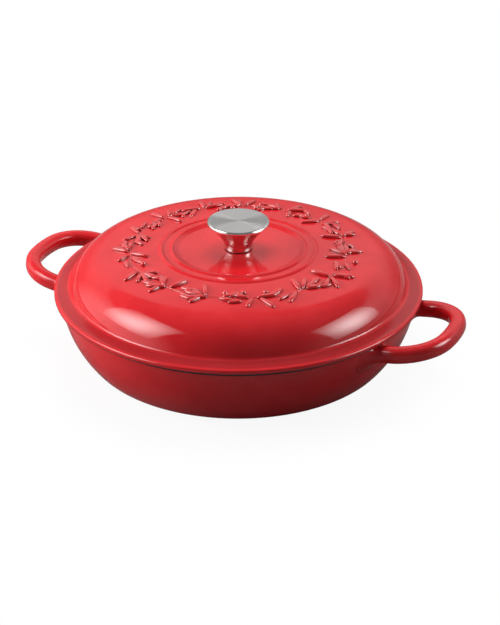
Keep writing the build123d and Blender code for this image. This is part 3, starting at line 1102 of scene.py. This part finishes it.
def capProfile(s):
    under, top, radius = s["capUnder"], s["capTop"], s["capRadius"]
    low, spigot = under - s["spigotDepth"], s["spigotRadius"]
    lowRound, topRound = s["capUnderRound"], s["capRound"]
    points = [(0.0, low), (spigot, low), (spigot, under)]
    points += arc((radius - lowRound, under + lowRound), lowRound, -90.0, 0.0, 6)
    points += arc((radius - topRound, top - topRound), topRound, 0.0, 90.0, 12)
    return points + along((radius - topRound - 0.1, top), (0.0, top), 12)


makeObject(
    "knob_stem_shell", lathe(stemProfile(knobSizes), knobSizes["segments"]),
    stemSteel, "lid", "knob_stem")
makeObject(
    "knob_cap_disc", lathe(capProfile(knobSizes), knobSizes["segments"]),
    capSteel, "lid", "knob_cap")

for node, material in (
    ("knob_insert", fasteningSteel), ("lid_washer", fasteningSteel),
    ("knob_screw", fasteningSteel), ("knob_gasket", gasketSilicone),
):
    shown = frame["nodes"][node]
    shown.data.materials.clear()
    shown.data.materials.append(material)

print("stage: studio")

# Camera and studio, in the camera's own frame turned about Z
cameraSizes = {
    "back": 1363.12,
    "height": 731.93,
    "turn": 25.5,
    "yaw": 0.406,
    "pitch": 27.152,
    "lens": 103.68,
    "sensor": 36.0,
    "clip": (0.05, 50.0),
}
studioTurn = math.radians(cameraSizes["turn"])


def inStudio(x, y, z):
    c, s = math.cos(studioTurn), math.sin(studioTurn)
    return Vector(((x * c - y * s) * mm, (x * s + y * c) * mm, z * mm))


cameraData = bpy.data.cameras.new("camera")
cameraData.lens = cameraSizes["lens"]
cameraData.sensor_width = cameraSizes["sensor"]
cameraData.clip_start, cameraData.clip_end = cameraSizes["clip"]
camera = addObject("camera", cameraData)
camera.location = inStudio(0.0, -cameraSizes["back"], cameraSizes["height"])
camera.rotation_euler = Euler((
    math.radians(90.0 - cameraSizes["pitch"]), 0.0, studioTurn - math.radians(cameraSizes["yaw"])))
bpy.context.scene.camera = camera

lampSizes = {
    "leftPanel": {"place": (-980.0, -190.0, 822.0), "size": (980.0, 900.0), "power": 12.0, "diffuse": False},
    "rightPanel": {"place": (1105.0, -170.0, 624.0), "size": (920.0, 840.0), "power": 10.5, "diffuse": False},
    "leftFill": {"place": (-1300.0, 60.0, 480.0), "size": (900.0, 900.0), "power": 15.5, "glossy": False},
    "rightFill": {"place": (1250.0, 260.0, 620.0), "size": (900.0, 900.0), "power": 5.8, "glossy": False},
    "backFill": {"place": (0.0, 620.0, 1350.0), "size": (1200.0, 900.0), "power": 12.0, "glossy": False},
}
lampTarget = (0.0, 0.0, 60.0)
lampFall = {"peak": 2.5, "spread": 0.42}  # a softbox is brighter in the middle


def addLamp(name, s):
    data = bpy.data.lights.new(name, "AREA")
    data.shape = "RECTANGLE"
    data.size = s["size"][0] * mm
    data.size_y = s["size"][1] * mm
    data.energy = s["power"]
    graph = freshGraph(data)
    spot = graph.node("ShaderNodeNewGeometry", {}, {}, "Parametric")
    unit = 1.0 / lampFall["spread"]
    # how far a spot is from the middle of the panel
    off = graph.vector("MULTIPLY", graph.vector("SUBTRACT", spot, (0.5, 0.5, 0.0)), (unit, unit, 0.0))
    away = graph.vector("DOT_PRODUCT", off, off, output="Value")
    level = graph.maths("EXPONENT", -away) * lampFall["peak"]
    graph.finish("ShaderNodeOutputLight", graph.node("ShaderNodeEmission", {}, {"Strength": level}))
    lamp = addObject(name, data)
    lamp.location = inStudio(*s["place"])
    lamp.rotation_euler = (inStudio(*lampTarget) - lamp.location).to_track_quat("-Z", "Y").to_euler()
    lamp.visible_diffuse = s.get("diffuse", True)
    lamp.visible_glossy = s.get("glossy", True)


for lampName, lamp in lampSizes.items():
    addLamp(lampName, lamp)

# World: white to the camera, and to the rest grey with a pale backdrop behind the object and bright sides
worldSizes = {
    "colour": (1.0, 1.0, 1.0, 1.0),
    "ambient": 0.24,
    "front": 0.12,
    "left": 1.35,
    "right": 0.35,
    "backdrop": 0.66,
    "backdropFoot": 0.2,
    "backdropTop": 0.61,
    "topSoft": 0.03,
    "behindReach": (0.0, 0.35),
    "frontReach": (-0.6, 0.2),
    "footReach": (0.1, 0.5),
    "sideReach": (0.6, 0.95),
}


def makeWorld(s):
    world = bpy.data.worlds.new("studio")
    graph = freshGraph(world)
    way = graph.node("ShaderNodeTexCoord", {}, {}, "Generated")
    turned = graph.node("ShaderNodeVectorRotate", {"rotation_type": "Z_AXIS"}, {
        "Vector": way, "Angle": -studioTurn})
    split = graph.split(turned)
    x, y, z = (split.out(name) for name in "XYZ")
    low = graph.ramp(z, s["backdropTop"] - s["topSoft"], s["backdropTop"] + s["topSoft"], 1.0, 0.0)
    unseen = graph.ramp(y, *s["frontReach"], s["front"], s["ambient"])
    graded = graph.ramp(z, *s["footReach"], s["backdropFoot"], s["backdrop"])
    unseen = unseen + graph.ramp(y, *s["behindReach"]) * low * (graded - s["ambient"])
    near, far = s["sideReach"]
    unseen = unseen + graph.ramp(x, -near, -far, 0.0, s["left"]) * low
    unseen = unseen + graph.ramp(x, near, far, 0.0, s["right"]) * low
    isCamera = graph.node("ShaderNodeLightPath").out("Is Camera Ray")
    level = isCamera + (1.0 - isCamera) * unseen
    graph.finish("ShaderNodeOutputWorld", graph.node("ShaderNodeBackground", {}, {
        "Color": s["colour"], "Strength": level}))
    bpy.context.scene.world = world


# Floor: nearly white to the camera, so that a faint shadow shows near the object, and dim to the rest
floorSizes = {
    "half": 4000.0,
    "lit": (0.9, 0.9, 0.9, 1.0),
    "dim": (0.25, 0.25, 0.25, 1.0),
    "white": (1.0, 1.0, 1.0, 1.0),
    "whiteShare": (0.92, 1.0),
    "whiteReach": (130.0, 220.0),
}


def floorMaterial(s):
    material, graph = newMaterial("floor")
    isCamera = graph.node("ShaderNodeLightPath").out("Is Camera Ray")
    lit = graph.node("ShaderNodeBsdfDiffuse", {}, {"Color": s["lit"]})
    dim = graph.node("ShaderNodeBsdfDiffuse", {}, {"Color": s["dim"]})
    white = graph.node("ShaderNodeEmission", {}, {"Color": s["white"], "Strength": 1.0})
    away = graph.vector("LENGTH", graph.place(), output="Value")
    near, far = (reach * mm for reach in s["whiteReach"])
    seen = graph.mixShader(graph.ramp(away, near, far, *s["whiteShare"]), lit, white)
    graph.finish("ShaderNodeOutputMaterial", graph.mixShader(isCamera, dim, seen))
    return material


def makeFloor(s):
    half = s["half"] * mm
    data = bpy.data.meshes.new("floor")
    corners = [(-half, -half, 0.0), (half, -half, 0.0), (half, half, 0.0), (-half, half, 0.0)]
    data.from_pydata(corners, [], [(0, 1, 2, 3)])
    data.materials.append(floorMaterial(s))
    floor = addObject("floor", data)


makeWorld(worldSizes)
makeFloor(floorSizes)
bpy.context.scene.view_settings.view_transform = "Standard"
